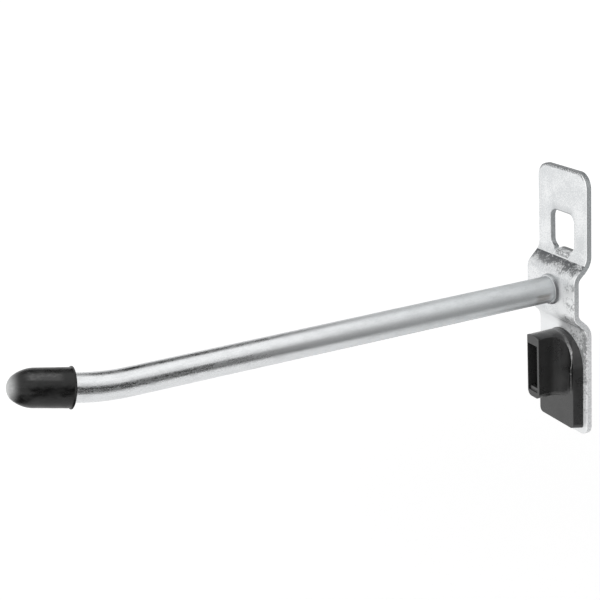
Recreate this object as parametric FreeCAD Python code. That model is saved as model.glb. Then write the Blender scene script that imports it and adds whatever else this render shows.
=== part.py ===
import FreeCAD, Part
import os
from math import atan2, cos, degrees, radians, sin, sqrt

# Pegboard hook for panels with square holes.
# Millimetres. X runs across the hook, -Y is out into the room, +Z is up.
# The panel's front face is the plane y = 0 and the origin is the middle of the upper panel hole.

# Panel the hook is made for
hole_pitch = 38.0
panel_hole = 10.0
panel_slot = 2.2

# Pressed plate
plate_width = 24.4
sheet = 1.7
plate_top = 22.2
plate_bottom = -59.2
top_corner = 4.5
bottom_corner = 3.4
face_edge_round = 0.25

# Step in the plate that stands the rod off the panel
step_depth = 4.45
step_angle = 47.0
step_soft_radius = 4.4
step_tight_radius = 2.2
upper_step_start = -2.4
lower_step_end = -27.4

# Window and the tab bent out of it
window_width = 11.7
window_top = 8.8
window_bottom = -2.8
window_corner = 2.5
tab_width = 8.0
tab_bend_radius = 0.8
tab_shoulder_radius = 1.3
tab_tip = -11.2
tab_tip_corner = 1.6

# Rod
rod_dia = 8.0
rod_axis_z = -14.2
rod_straight_end = -138.0
rod_bend_radius = 65.0
rod_bend_angle = 12.5
rod_bare_tail = 1.3
collar_dia = 9.2
collar_length = 1.1
collar_round = 0.45
tenon_dia = 6.2
tenon_clearance = 0.05
head_dia = 9.6
head_height = 1.5
head_chamfer = 0.7
rod_end_chamfer = 0.7

# End cap
cap_length = 16.9
cap_body_dia = 10.4
cap_open_dia = 10.7
cap_lip_dia = 11.3
cap_lip_edge = 0.15
cap_lip_length = 0.7
cap_dome_length = 7.2
cap_nose_radius = 4.2
cap_bore_depth = 11.9

# Locking clip, flange and grip
flange_half_width = 10.3
flange_drop = 19.3
flange_thickness = 2.6
flange_top_thickness = 1.7
flange_side_taper = 1.4
flange_corner = 1.5
grip_reach = 12.5
grip_width = 6.2
grip_bottom = -47.8
grip_corner = 1.8
flare_corner = 4.2
flare_half_width = 7.7
pocket_left = -2.75
pocket_right = 2.1
pocket_top = -30.8
pocket_bottom = -45.9
pocket_depth = 7.6
ledge_setback = 0.5
ledge_depth = 1.5
ledge_rise = 1.2
ledge_side_gap = 0.45

# Locking clip, legs behind the plate
stub_size = 8.6
stub_clearance = 0.1
stub_corner = 1.0
leg_gap = 2.0
barb_overhang = 0.45
barb_length = 1.4
barb_face_gap = 0.3
leg_lead_in = 1.2


def vec(x, y, z):
    return FreeCAD.Vector(x, y, z)


def line(a, b):
    return Part.makeLine(a, b)


def arc(a, b, c):
    return Part.Arc(a, b, c).toShape()


def box(x0, x1, y0, y1, z0, z1):
    return Part.makeBox(x1 - x0, y1 - y0, z1 - z0, vec(x0, y0, z0))


def prism(edges, direction):
    """Solid from a closed chain of edges, pushed along a direction."""
    wire = Part.Wire(Part.__sortEdges__(edges))
    return Part.Face(wire).extrude(direction)


def y_cylinder(radius, y0, y1, x, z):
    return Part.makeCylinder(radius, y1 - y0, vec(x, y0, z), vec(0, 1, 0))


def rounded_outline(x0, x1, z0, z1, r_low, r_high, y):
    """Edges of an upright rectangle with its own low and high corner radii."""
    k = 1.0 - sqrt(0.5)
    low, high = r_low, r_high
    edges = [
        line(vec(x0 + low, y, z0), vec(x1 - low, y, z0)),
        arc(vec(x1 - low, y, z0), vec(x1 - k * low, y, z0 + k * low), vec(x1, y, z0 + low)),
        line(vec(x1, y, z0 + low), vec(x1, y, z1 - high)),
        arc(vec(x1, y, z1 - high), vec(x1 - k * high, y, z1 - k * high), vec(x1 - high, y, z1)),
        line(vec(x1 - high, y, z1), vec(x0 + high, y, z1)),
        arc(vec(x0 + high, y, z1), vec(x0 + k * high, y, z1 - k * high), vec(x0, y, z1 - high)),
        line(vec(x0, y, z1 - high), vec(x0, y, z0 + low)),
        arc(vec(x0, y, z0 + low), vec(x0 + k * low, y, z0 + k * low), vec(x0 + low, y, z0)),
    ]
    return edges


class Strip:
    """Side view of bent sheet, walked along its back face in the Y-Z plane."""

    def __init__(self, y, z, heading, x):
        self.y = y
        self.z = z
        self.heading = heading
        self.x = x
        self.back = []
        self.front = []

    def point(self, side):
        """Point on the back face (side 0) or on the front face (side 1)."""
        angle = radians(self.heading - 90.0)
        return vec(self.x, self.y + side * sheet * cos(angle), self.z + side * sheet * sin(angle))

    def run(self, length):
        starts = [self.point(0), self.point(1)]
        self.y += length * cos(radians(self.heading))
        self.z += length * sin(radians(self.heading))
        self.back.append(line(starts[0], self.point(0)))
        self.front.append(line(starts[1], self.point(1)))

    def bend(self, angle, inner_radius, towards_front):
        """Bend by an angle; the radius is that of the tighter face."""
        reach = sheet + inner_radius if towards_front else -inner_radius
        normal = radians(self.heading - 90.0)
        centre_y = self.y + reach * cos(normal)
        centre_z = self.z + reach * sin(normal)
        turn = -angle if towards_front else angle
        first = self.heading
        points = [[self.point(0)], [self.point(1)]]
        for share in (0.5, 1.0):
            self.heading = first + turn * share
            normal = radians(self.heading - 90.0)
            self.y = centre_y - reach * cos(normal)
            self.z = centre_z - reach * sin(normal)
            points[0].append(self.point(0))
            points[1].append(self.point(1))
        self.back.append(arc(*points[0]))
        self.front.append(arc(*points[1]))

    def solid(self, width, start, end):
        """Close the walk between its first and last points and push it across."""
        edges = self.back + self.front
        edges.append(line(start[0], start[1]))
        edges.append(line(end[0], end[1]))
        return prism(edges, vec(width, 0, 0))


def step_height(depth, angle, radius_a, radius_b):
    """Height taken up by a step of this depth, and the straight length in it."""
    a = radius_a + sheet / 2.0
    b = radius_b + sheet / 2.0
    fall = (a + b) * (1.0 - cos(radians(angle)))
    straight = (depth - fall) / sin(radians(angle))
    height = (a + b) * sin(radians(angle)) + straight * cos(radians(angle))
    return height, straight


def plate_blank():
    """Sheet bent out and back again, before the outline is cut."""
    height, straight = step_height(step_depth, step_angle, step_soft_radius, step_tight_radius)
    upper_step_end = upper_step_start - height
    lower_step_start = lower_step_end + height
    walk = Strip(0.0, plate_top, -90.0, -plate_width / 2.0)
    start = [walk.point(0), walk.point(1)]
    walk.run(plate_top - upper_step_start)
    walk.bend(step_angle, step_soft_radius, True)
    walk.run(straight)
    walk.bend(step_angle, step_tight_radius, False)
    walk.run(upper_step_end - lower_step_start)
    walk.bend(step_angle, step_tight_radius, False)
    walk.run(straight)
    walk.bend(step_angle, step_soft_radius, True)
    walk.run(lower_step_end - plate_bottom)
    end = [walk.point(0), walk.point(1)]
    return walk.solid(plate_width, start, end)


def hook_tab():
    """Tab from the window's sill: back through the panel hole, then down behind the panel."""
    neck_top = sheet - panel_hole / 2.0
    walk = Strip(-sheet, neck_top, 0.0, -tab_width / 2.0)
    start = [walk.point(0), walk.point(1)]
    walk.run(panel_slot + sheet - tab_bend_radius)
    walk.bend(90.0, tab_bend_radius, True)
    walk.run(walk.z - tab_tip)
    end = [walk.point(0), walk.point(1)]
    tab = walk.solid(tab_width, start, end)
    side = tab_width / 2.0
    outline = rounded_outline(-side, side, tab_tip, 0.0, tab_tip_corner, 0.5, panel_slot - 0.5)
    leg_shape = prism(outline, vec(0, sheet + 1.0, 0))
    leg_zone = box(-side - 1, side + 1, panel_slot - 0.5, 9.0, tab_tip - 1.0, tab_tip + 3.0)
    trimmed = tab.common(leg_zone).common(leg_shape)
    return tab.cut(leg_zone).fuse(trimmed)


def front_face_y(z):
    """Front face of the sheet where the upper step starts to lean forward."""
    drop = max(0.0, upper_step_start - z)
    return -sheet - step_soft_radius + sqrt(step_soft_radius**2 - drop**2)


def tab_shoulder():
    """What the bend takes off the corner between the sheet's face and the tab's top."""
    neck_top = sheet - panel_hole / 2.0
    side = tab_width / 2.0
    radius = tab_shoulder_radius
    face = front_face_y(neck_top - radius)
    block = box(-side, side, face - 1.0, face + radius, neck_top - radius, window_bottom + 0.1)
    roller = Part.makeCylinder(radius, tab_width, vec(-side, face + radius, neck_top - radius), vec(1, 0, 0))
    above = box(-side, side, face - 1.0, 0.5, neck_top, window_bottom + 0.1)
    return block.cut(roller).fuse(above)


def rounded_edges(shape, edges, radius):
    """Fillet the edges that take it; the shape comes back unrounded if none do."""
    try:
        rounded = shape.makeFillet(radius, edges)
    except Part.OCCError:
        return shape
    return rounded if rounded.isValid() and rounded.Volume > 0 else shape


def front_rim(shape):
    """Edges where a wall through the sheet meets its front face."""
    found = []
    for edge in shape.Edges:
        faces = shape.ancestorsOfType(edge, Part.Face)
        if len(faces) != 2:
            continue
        slopes = sorted(outward_y(face, edge) for face in faces)
        if slopes[0] < -0.5 and abs(slopes[1]) < 0.01:
            found.append(edge)
    return found


def outward_y(face, edge):
    """Y part of a face's outward normal at the middle of one of its edges."""
    middle = edge.valueAt((edge.FirstParameter + edge.LastParameter) / 2.0)
    u, v = face.Surface.parameter(middle)
    return face.normalAt(u, v).y


def back_plate():
    half = plate_width / 2.0
    outline = rounded_outline(-half, half, plate_bottom, plate_top, bottom_corner, top_corner, -20.0)
    plate = plate_blank().common(prism(outline, vec(0, 40, 0)))
    side = window_width / 2.0
    opening = rounded_outline(-side, side, window_bottom, window_top, window_corner, window_corner, -8.0)
    plate = plate.cut(prism(opening, vec(0, 16, 0)))
    plate = rounded_edges(plate, front_rim(plate), face_edge_round)
    plate = plate.fuse(hook_tab()).cut(tab_shoulder())
    plate = plate.cut(y_cylinder(tenon_dia / 2.0 + tenon_clearance, -20.0, 5.0, 0.0, rod_axis_z))
    reach = stub_size / 2.0 + stub_clearance
    corner = stub_corner + stub_clearance
    low, high = -hole_pitch - reach, -hole_pitch + reach
    stub_hole = prism(rounded_outline(-reach, reach, low, high, corner, corner, -8.0), vec(0, 16, 0))
    return plate.cut(stub_hole).removeSplitter()


def rod_path_end():
    """Centre of the bend, and the point and direction where it ends."""
    turn = radians(rod_bend_angle)
    centre = vec(0, rod_straight_end, rod_axis_z + rod_bend_radius)
    end_y = rod_straight_end - rod_bend_radius * sin(turn)
    end_z = rod_axis_z + rod_bend_radius * (1.0 - cos(turn))
    return centre, vec(0, end_y, end_z), vec(0, -cos(turn), sin(turn))


def revolved(profile, origin, direction):
    """Turn a closed profile about its own Z axis, then stand it on a point and direction."""
    face = Part.Face(Part.Wire(Part.__sortEdges__(profile)))
    solid = face.revolve(vec(0, 0, 0), vec(0, 0, 1), 360.0)
    turn = FreeCAD.Rotation(vec(0, 0, 1), direction)
    solid.Placement = FreeCAD.Placement(origin, turn)
    return solid


def hook_rod():
    front = -sheet - step_depth
    back = -step_depth
    radius = rod_dia / 2.0
    centre, bend_end, outward = rod_path_end()
    straight = y_cylinder(radius, rod_straight_end, front, 0.0, rod_axis_z)
    ring = Part.Face(Part.Wire(Part.makeCircle(radius, vec(0, rod_straight_end, rod_axis_z), vec(0, 1, 0))))
    elbow = ring.revolve(centre, vec(1, 0, 0), -rod_bend_angle)
    tail = Part.makeCylinder(radius, rod_bare_tail + cap_bore_depth, bend_end, outward)
    far = max(tail.Edges, key=lambda e: abs(e.CenterOfMass.y) if e.Closed else 0.0)
    tail = tail.makeChamfer(rod_end_chamfer, [far])
    collar = y_cylinder(collar_dia / 2.0, front - collar_length, front, 0.0, rod_axis_z)
    lip = min((e for e in collar.Edges if e.Closed), key=lambda e: e.CenterOfMass.y)
    collar = collar.makeFillet(collar_round, [lip])
    tenon = y_cylinder(tenon_dia / 2.0, front - 0.5, back + 0.5, 0.0, rod_axis_z)
    head = y_cylinder(head_dia / 2.0, back, back + head_height, 0.0, rod_axis_z)
    crown = max((e for e in head.Edges if e.Closed), key=lambda e: e.CenterOfMass.y)
    head = head.makeChamfer(head_chamfer, [crown])
    return straight.multiFuse([elbow, tail, collar, tenon, head]).removeSplitter()


def polar(centre, radius, angle):
    """Point of a turned profile at an angle from the X axis, in degrees."""
    return centre + vec(radius * cos(radians(angle)), 0, radius * sin(radians(angle)))


def cap_dome(body, shoulder):
    """Long side arc and tighter nose arc, tangent to the wall, to each other and to the tip."""
    nose = cap_nose_radius
    rise = cap_dome_length - nose
    side = (rise**2 + body**2 - nose**2) / (2.0 * (body - nose))
    nose_centre = vec(0, 0, shoulder + rise)
    side_centre = vec(body - side, 0, shoulder)
    meet = degrees(atan2(rise, side - body))
    return [
        arc(vec(body, 0, shoulder), polar(side_centre, side, meet / 2.0), polar(nose_centre, nose, meet)),
        arc(
            polar(nose_centre, nose, meet),
            polar(nose_centre, nose, (meet + 90.0) / 2.0),
            vec(0, 0, shoulder + cap_dome_length),
        ),
    ]


def end_cap():
    """Soft cap pushed on the rod: thin flared lip at its mouth, slight taper, long domed nose."""
    centre, bend_end, outward = rod_path_end()
    lip, mouth, body = cap_lip_dia / 2.0, cap_open_dia / 2.0, cap_body_dia / 2.0
    bore = rod_dia / 2.0
    shoulder = cap_length - cap_dome_length
    edges = [
        line(vec(bore, 0, 0), vec(lip, 0, 0)),
        line(vec(lip, 0, 0), vec(lip, 0, cap_lip_edge)),
        line(vec(lip, 0, cap_lip_edge), vec(mouth, 0, cap_lip_length)),
        line(vec(mouth, 0, cap_lip_length), vec(body, 0, shoulder)),
        line(vec(0, 0, cap_length), vec(0, 0, cap_bore_depth)),
        line(vec(0, 0, cap_bore_depth), vec(bore, 0, cap_bore_depth)),
        line(vec(bore, 0, cap_bore_depth), vec(bore, 0, 0)),
    ]
    edges += cap_dome(body, shoulder)
    return revolved(edges, bend_end + outward * rod_bare_tail, outward)


def arched_outline(half, bottom, top_radius, corner, y):
    """Straight sides, a half-round top about the panel hole and rounded low corners."""
    k = 1.0 - sqrt(0.5)
    z = -hole_pitch
    rise = top_radius
    return [
        line(vec(-half + corner, y, bottom), vec(half - corner, y, bottom)),
        arc(
            vec(half - corner, y, bottom),
            vec(half - k * corner, y, bottom + k * corner),
            vec(half, y, bottom + corner),
        ),
        line(vec(half, y, bottom + corner), vec(half, y, z)),
        arc(vec(half, y, z), vec(0, y, z + rise), vec(-half, y, z)),
        line(vec(-half, y, z), vec(-half, y, bottom + corner)),
        arc(
            vec(-half, y, bottom + corner),
            vec(-half + k * corner, y, bottom + k * corner),
            vec(-half + corner, y, bottom),
        ),
    ]


def clip_flange():
    """Cover over the lower hole: tapered sides, and thinner towards the arched top."""
    face = -sheet
    bottom = -hole_pitch - flange_drop
    back = arched_outline(flange_half_width, bottom, flange_half_width, flange_corner, face)
    narrow = flange_half_width - flange_side_taper
    front = arched_outline(narrow, bottom, narrow, flange_corner, face - flange_thickness)
    wires = [Part.Wire(back), Part.Wire(front)]
    flange = Part.makeLoft(wires, True, True)
    wide = flange_half_width + 1.0
    top = -hole_pitch + flange_half_width
    slope = (flange_thickness - flange_top_thickness) / flange_half_width
    crest = face - flange_top_thickness + slope * 1.0
    profile = [
        line(vec(-wide, face - flange_thickness, -hole_pitch), vec(-wide, crest, top + 1.0)),
        line(vec(-wide, crest, top + 1.0), vec(-wide, face - 9.0, top + 1.0)),
        line(vec(-wide, face - 9.0, top + 1.0), vec(-wide, face - 9.0, -hole_pitch)),
        line(vec(-wide, face - 9.0, -hole_pitch), vec(-wide, face - flange_thickness, -hole_pitch)),
    ]
    return flange.cut(prism(profile, vec(2.0 * wide, 0, 0)))


def clip_grip():
    """Upright finger grip with hollow flares down to the flange."""
    half = grip_width / 2.0
    root = -sheet - 0.8
    outline = arched_outline(flare_half_width, grip_bottom, flange_half_width, flare_corner, root)
    body = prism(outline, vec(0, -grip_reach - root, 0))
    flare = flare_half_width - half
    seat = -sheet - flange_thickness
    for sign in (-1.0, 1.0):
        edge = sign * (flare_half_width + 1.0)
        inner = sign * half
        low, high = min(edge, inner), max(edge, inner)
        slab = box(low, high, -grip_reach - 1.0, seat - flare, -90.0, 0.0)
        roll = Part.makeCylinder(flare, 90.0, vec(sign * flare_half_width, seat - flare, -90.0))
        body = body.cut(slab).cut(roll)
    edges = [e for e in body.Edges if is_grip_low_corner(e)]
    return rounded_edges(body, edges, grip_corner)


def is_grip_low_corner(edge):
    """True for the grip's two low edges that run from front to back."""
    if len(edge.Vertexes) != 2:
        return False
    a, b = (v.Point for v in edge.Vertexes)
    along = abs(a.x - b.x) < 1e-6 and abs(a.z - b.z) < 1e-6
    return along and abs(a.z - grip_bottom) < 1e-6 and abs(abs(a.x) - grip_width / 2.0) < 1e-6


def grip_pocket():
    front = -grip_reach
    pocket = box(pocket_left, pocket_right, front - 1.0, front + pocket_depth, pocket_bottom, pocket_top)
    step_front = front + ledge_setback
    ledge_top = pocket_bottom + ledge_rise
    ledge = box(pocket_left + ledge_side_gap, pocket_right - ledge_side_gap,
                step_front, step_front + ledge_depth, pocket_bottom - 0.5, ledge_top)
    return pocket.cut(ledge)


def clip_legs():
    """Split stub through the plate into the panel hole, with a barb on each leg."""
    half = stub_size / 2.0
    z = -hole_pitch
    start = -sheet - 0.8
    barb_start = panel_slot + barb_face_gap
    end = barb_start + barb_length + leg_lead_in
    outline = rounded_outline(-half, half, z - half, z + half, stub_corner, stub_corner, start)
    stub = prism(outline, vec(0, end - start, 0))
    peak = half + barb_overhang
    for sign in (-1.0, 1.0):
        points = [
            vec(-half + stub_corner, barb_start, z + sign * (half - 0.6)),
            vec(-half + stub_corner, barb_start, z + sign * peak),
            vec(-half + stub_corner, barb_start + 0.7, z + sign * peak),
            vec(-half + stub_corner, end, z + sign * (half - 0.9)),
            vec(-half + stub_corner, end, z + sign * (half - 1.6)),
        ]
        edges = [line(points[i], points[(i + 1) % 5]) for i in range(5)]
        stub = stub.fuse(prism(edges, vec(stub_size - 2.0 * stub_corner, 0, 0)))
    for sign in (-1.0, 1.0):
        points = [
            vec(-half - 1.0, end + 0.01, z + sign * (half - 0.9)),
            vec(-half - 1.0, barb_start + barb_length, z + sign * (half + 2.0)),
            vec(-half - 1.0, end + 0.01, z + sign * (half + 2.0)),
        ]
        edges = [line(points[i], points[(i + 1) % 3]) for i in range(3)]
        stub = stub.cut(prism(edges, vec(stub_size + 2.0, 0, 0)))
    gap = box(-half - 1.0, half + 1.0, 0.0, end + 1.0, z - leg_gap / 2.0, z + leg_gap / 2.0)
    return stub.cut(gap)


def locking_clip():
    clip = clip_flange().fuse(clip_grip())
    clip = clip.cut(grip_pocket()).fuse(clip_legs())
    return clip.removeSplitter()


def main():
    os.makedirs("parts", exist_ok=True)
    back_plate().exportStep("parts/back_plate.step")
    hook_rod().exportStep("parts/hook_rod.step")
    end_cap().exportStep("parts/end_cap.step")
    locking_clip().exportStep("parts/locking_clip.step")


main()
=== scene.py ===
"""Looks of a steel pegboard hook: plated plate, bent rod, soft end cap and moulded locking clip."""

import logging
from dataclasses import dataclass
from enum import Enum
from functools import reduce
from math import atan2, cos, degrees, pi, radians, sin
from operator import mul, or_
from typing import Any

import bpy
from mathutils import Matrix, Vector


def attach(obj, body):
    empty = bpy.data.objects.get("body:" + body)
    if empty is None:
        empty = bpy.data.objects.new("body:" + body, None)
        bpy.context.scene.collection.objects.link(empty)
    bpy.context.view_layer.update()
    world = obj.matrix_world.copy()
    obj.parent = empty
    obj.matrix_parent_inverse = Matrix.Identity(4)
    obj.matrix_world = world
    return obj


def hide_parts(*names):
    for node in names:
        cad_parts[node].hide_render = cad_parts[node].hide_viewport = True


MM = 0.001
BODY = "root"
STRAIGHT_PLACE = "straight_place"
WHITE = (1.0, 1.0, 1.0)
UP = (0.0, 0.0, 1.0)
SHARP_ANGLE = radians(30.0)
Point = tuple[float, float]
Step = tuple[float, float]
Band = tuple[float, float, float]
Span = tuple[float, ...]
Colour = tuple[float, float, float]

log = logging.getLogger("pegboard_hook")
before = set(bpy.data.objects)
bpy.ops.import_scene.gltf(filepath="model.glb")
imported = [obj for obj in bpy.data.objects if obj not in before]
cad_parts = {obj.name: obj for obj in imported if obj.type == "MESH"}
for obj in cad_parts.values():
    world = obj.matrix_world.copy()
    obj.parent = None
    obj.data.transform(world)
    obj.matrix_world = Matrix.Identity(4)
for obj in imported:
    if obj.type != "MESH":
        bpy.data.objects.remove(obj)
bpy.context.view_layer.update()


class Slot(Enum):
    """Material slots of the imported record."""

    PLATE = "plate_steel"
    ROD = "rod_steel"
    CAP = "cap_black"
    CLIP = "clip_black"


class Value:
    """A node's output with ordinary arithmetic, where each step adds a node."""

    def __init__(self, wires: "Wiring", socket: bpy.types.NodeSocket) -> None:
        """Keep the output and the wiring of its tree."""
        self.wires = wires
        self.socket = socket

    def __add__(self, other: Any) -> "Value":
        """Sum."""
        return self.wires.math("ADD", self, other)

    def __sub__(self, other: Any) -> "Value":
        """Difference."""
        return self.wires.math("SUBTRACT", self, other)

    def __rsub__(self, other: float) -> "Value":
        """A number less this value."""
        return self.wires.math("SUBTRACT", other, self)

    def __mul__(self, other: Any) -> "Value":
        """Product, which narrows one mask by another."""
        return self.wires.math("MULTIPLY", self, other)

    def __truediv__(self, other: Any) -> "Value":
        """Quotient."""
        return self.wires.math("DIVIDE", self, other)

    def __or__(self, other: Any) -> "Value":
        """The larger of the two, which joins two masks."""
        return self.wires.math("MAXIMUM", self, other)

    def __abs__(self) -> "Value":
        """Size without the sign."""
        return self.wires.math("ABSOLUTE", self)

    def ramp(self, start: Any, end: Any, low: Any = 0.0, high: Any = 1.0) -> "Value":
        """Smooth step from low at start to high at end, which may lie below start."""
        inputs = {"Value": self, "From Min": start, "From Max": end, "To Min": low, "To Max": high}
        return self.wires.value("ShaderNodeMapRange", inputs, interpolation_type="SMOOTHSTEP")

    def band(self, low: float, high: float, soft: float) -> "Value":
        """Mask that is 1 from low to high, with a soft side of the given width outside each end."""
        return self.ramp(low - soft, low) * self.ramp(high + soft, high)

    def span(self, span: Span) -> "Value":
        """Band of three numbers, or ramp of two."""
        return self.band(*span) if len(span) == 3 else self.ramp(*span)


class Wiring:
    """Adds nodes to a tree and feeds them from other nodes or plain values."""

    def __init__(self, tree: bpy.types.NodeTree) -> None:
        """Keep the tree that the nodes go into."""
        self.tree = tree

    def feed(self, socket: bpy.types.NodeSocket, value: Any) -> None:
        """Link a socket, or set its plain value.

        Args:
            socket: The input to feed.
            value: Another node's output, or a constant.
        """
        if isinstance(value, Value):
            value = value.socket
        if isinstance(value, bpy.types.NodeSocket):
            self.tree.links.new(value, socket)
        else:
            socket.default_value = value

    def add(self, kind: str, inputs: dict[Any, Any] | None = None, **settings: Any) -> bpy.types.Node:
        """Add one node.

        Args:
            kind: The node's type name.
            inputs: Values or outputs by input name or number.
            settings: Properties of the node itself.

        Returns:
            The new node.
        """
        node = self.tree.nodes.new(kind)
        for name, value in settings.items():
            setattr(node, name, value)
        for name, value in (inputs or {}).items():
            self.feed(node.inputs[name], value)
        return node

    def value(self, kind: str, inputs: dict[Any, Any] | None = None, output: Any = 0,
              **settings: Any) -> Value:
        """Add one node and give the output that has this name or number."""
        return Value(self, self.add(kind, inputs, **settings).outputs[output])

    def math(self, operation: str, *values: Any) -> Value:
        """Add a Math node with its one to three operands."""
        return self.value("ShaderNodeMath", dict(enumerate(values)), operation=operation)

    def length(self, first: Value, second: Value) -> Value:
        """Length of a vector with two parts."""
        return self.math("SQRT", first * first + second * second)

    def parts(self, vector: Any) -> list[Value]:
        """The three parts of a vector."""
        return [Value(self, output) for output in self.add("ShaderNodeSeparateXYZ", {0: vector}).outputs]

    def millimetres(self, place: Any) -> list[Value]:
        """The three parts of a place in metres, as millimetres."""
        scaled = self.value("ShaderNodeVectorMath", {0: place, "Scale": 1.0 / MM}, operation="SCALE")
        return self.parts(scaled)

    def mix(self, factor: Any, first: Any, second: Any) -> Value:
        """Mix of two colours.

        Args:
            factor: Share of the second colour.
            first: A colour or an output.
            second: A colour or an output.

        Returns:
            The mixed colour.
        """
        node = self.add("ShaderNodeMix", data_type="RGBA")
        for number, value in ((0, factor), (6, first), (7, second)):
            self.feed(node.inputs[number], rgba(value) if isinstance(value, tuple) else value)
        return Value(self, node.outputs[2])

    def stretched(self, vector: Any, scale: Colour) -> Value:
        """A pattern's coordinates, scaled along each axis."""
        return self.value("ShaderNodeMapping", {"Vector": vector, "Scale": scale})

    def noise(self, vector: Any, scale: Any, detail: float, roughness: float = 0.5) -> Value:
        """Noise from 0 to 1, centred on 0.5.

        Args:
            vector: Coordinates in metres.
            scale: Cells per metre.
            detail: Octaves.
            roughness: Weight of the finer octaves.

        Returns:
            The noise.
        """
        inputs = {"Vector": vector, "Scale": scale, "Detail": detail, "Roughness": roughness}
        return self.value("ShaderNodeTexNoise", inputs)

    def given(self, name: str) -> Value:
        """One of a node group's own inputs."""
        return Value(self, self.tree.nodes["Group Input"].outputs[name])

    def put_out(self, name: str, value: Any) -> None:
        """Feed one of a node group's outputs."""
        self.feed(self.tree.nodes["Group Output"].inputs[name], value)


def rgba(colour: Colour) -> tuple[float, ...]:
    """A colour with full alpha."""
    return (*colour, 1.0)


def group_tree(name: str, kind: str, inputs: dict[str, tuple[str, Any]], outputs: tuple[str, ...]) -> Wiring:
    """Start a node group with typed sockets.

    Args:
        name: The group's name.
        kind: "ShaderNodeTree" or "GeometryNodeTree".
        inputs: Socket type and default value by input name, both types without "NodeSocket".
        outputs: Names of the outputs, which are "Geometry" or plain numbers.

    Returns:
        Wiring of the empty group, which has its input and output nodes.
    """
    tree = bpy.data.node_groups.new(name, kind)
    for label, (socket_type, default) in inputs.items():
        socket = tree.interface.new_socket(label, in_out="INPUT", socket_type="NodeSocket" + socket_type)
        if default is not None:
            socket.default_value = default
    for label in outputs:
        socket_type = "NodeSocketGeometry" if label == "Geometry" else "NodeSocketFloat"
        tree.interface.new_socket(label, in_out="OUTPUT", socket_type=socket_type)
    wires = Wiring(tree)
    wires.add("NodeGroupInput")
    wires.add("NodeGroupOutput")
    return wires


class SharedEffects:
    """Shader node groups that more than one finish uses."""

    cloud_share = 0.55
    crystal_share = 0.35
    cell_share = 0.175

    def __init__(self) -> None:
        """Build each group once."""
        self.mottle = self.build_mottle()
        self.grain = self.build_grain()

    def build_mottle(self) -> bpy.types.NodeTree:
        """Cloudy plating patches with small crystals in them.

        Returns:
            A group that puts out a mask from 0 to 1.
        """
        sockets = {
            "Vector": ("Vector", None),
            "Cloud Scale": ("Float", 300.0),
            "Crystal Scale": ("Float", 1200.0),
            "Coverage": ("Float", 0.5),
            "Softness": ("Float", 0.16),
        }
        wires = group_tree("mottle", "ShaderNodeTree", sockets, ("Mask",))
        place, crystals = wires.given("Vector"), wires.given("Crystal Scale")
        cloud = wires.noise(place, wires.given("Cloud Scale"), 3.0, 0.6)
        crystal = wires.noise(place, crystals, 2.0, 0.7)
        cells = wires.value(
            "ShaderNodeTexVoronoi",
            {"Vector": place, "Scale": crystals, "Randomness": 1.0},
            "Distance",
            feature="F1",
        )
        both = cloud * self.cloud_share + crystal * self.crystal_share + cells * self.cell_share
        mask = (both - (1.0 - wires.given("Coverage"))) / wires.given("Softness") + 0.5
        wires.put_out("Mask", wires.math("MINIMUM", mask | 0.0, 1.0))
        return wires.tree

    @staticmethod
    def build_grain() -> bpy.types.NodeTree:
        """Fine grain as a height, with a slow unevenness under it.

        Returns:
            A group that puts out a height and a slow value, both about 0.5.
        """
        sockets = {
            "Vector": ("Vector", None),
            "Fine Scale": ("Float", 4000.0),
            "Slow Scale": ("Float", 120.0),
            "Fine Share": ("Float", 0.5),
        }
        wires = group_tree("fine_grain", "ShaderNodeTree", sockets, ("Height", "Slow"))
        fine = wires.noise(wires.given("Vector"), wires.given("Fine Scale"), 2.0)
        slow = wires.noise(wires.given("Vector"), wires.given("Slow Scale"), 3.0)
        share = wires.given("Fine Share")
        wires.put_out("Height", fine * share + slow * (1.0 - share))
        wires.put_out("Slow", slow)
        return wires.tree


@dataclass(frozen=True)
class Zone:
    """Part of a piece with soft sides, in millimetres.

    An axis that matters has a band (low, high, soft width) or a ramp (start, end). On a turned piece x runs
    across it, y along it from the head and z up, all before the bend.
    """

    x: Span = ()
    y: Span = ()
    z: Span = ()
    share: float = 1.0


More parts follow.
